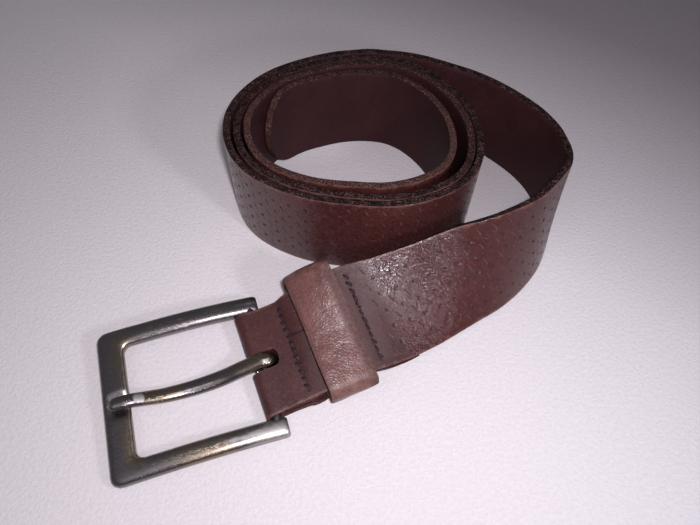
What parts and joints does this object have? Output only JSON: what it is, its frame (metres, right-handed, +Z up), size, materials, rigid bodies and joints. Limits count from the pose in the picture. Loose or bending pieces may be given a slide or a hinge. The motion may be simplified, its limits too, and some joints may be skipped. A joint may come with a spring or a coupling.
{
  "type": "leather waist belt",
  "caption": "Brown leather waist belt coiled on its edge, with an arched single-prong buckle, a sewn-back end and a leather keeper.",
  "frame": {"origin": "middle of the floor that the belt covers as it stands coiled on its edge", "axes": "+Z up, across the width of the coiled strap; the coil lies towards +Y and the buckle towards -X and -Y"},
  "size_m": [0.1774, 0.1818, 0.0401],
  "materials": {
    "strap_leather": "worn full-grain leather, semi-gloss",
    "keeper_leather": "creased, worn leather, semi-gloss",
    "buckle_metal": "antiqued gunmetal plating, worn bright on the edges",
    "prong_metal": "antiqued gunmetal plating, worn bright where it rests",
    "bar_steel": "drawn steel",
    "thread": "waxed polyester thread"
  },
  "bodies": {
    "coil": {"strap_coil": "strap_leather"},
    "arm": {"strap_arm": "strap_leather", "strap_fold": "strap_leather", "strap_tail": "strap_leather", "front_needle_thread": "thread", "front_bobbin_thread": "thread", "rear_needle_thread": "thread", "rear_bobbin_thread": "thread"},
    "keeper": {"keeper_loop": "keeper_leather", "keeper_staple": "bar_steel"},
    "buckle": {"buckle_frame": "buckle_metal", "heel_bar": "bar_steel"},
    "prong": {"prong": "prong_metal"}
  },
  "joints": [
    {"name": "arm_unroll", "type": "hinge", "parent": "coil", "child": "arm", "pos_m": [0.08735, 0.03465, 0.02], "axis": [0, 0, 1], "range_deg": [0, 30]},
    {"name": "keeper_slide", "type": "slide", "parent": "arm", "child": "keeper", "axis": [0.8947, 0.398, 0.2028], "range_m": [-0.0006, 0.0012]},
    {"name": "frame_swing", "type": "hinge", "parent": "arm", "child": "buckle", "pos_m": [-0.02732, -0.04662, 0.0046], "axis": [-0.3333, 0.9413, 0.0523], "range_deg": [0, 40]},
    {"name": "prong_swing", "type": "hinge", "parent": "buckle", "child": "prong", "pos_m": [-0.02732, -0.04662, 0.0046], "axis": [-0.3333, 0.9413, 0.0523], "range_deg": [0, 75]}
  ]
}
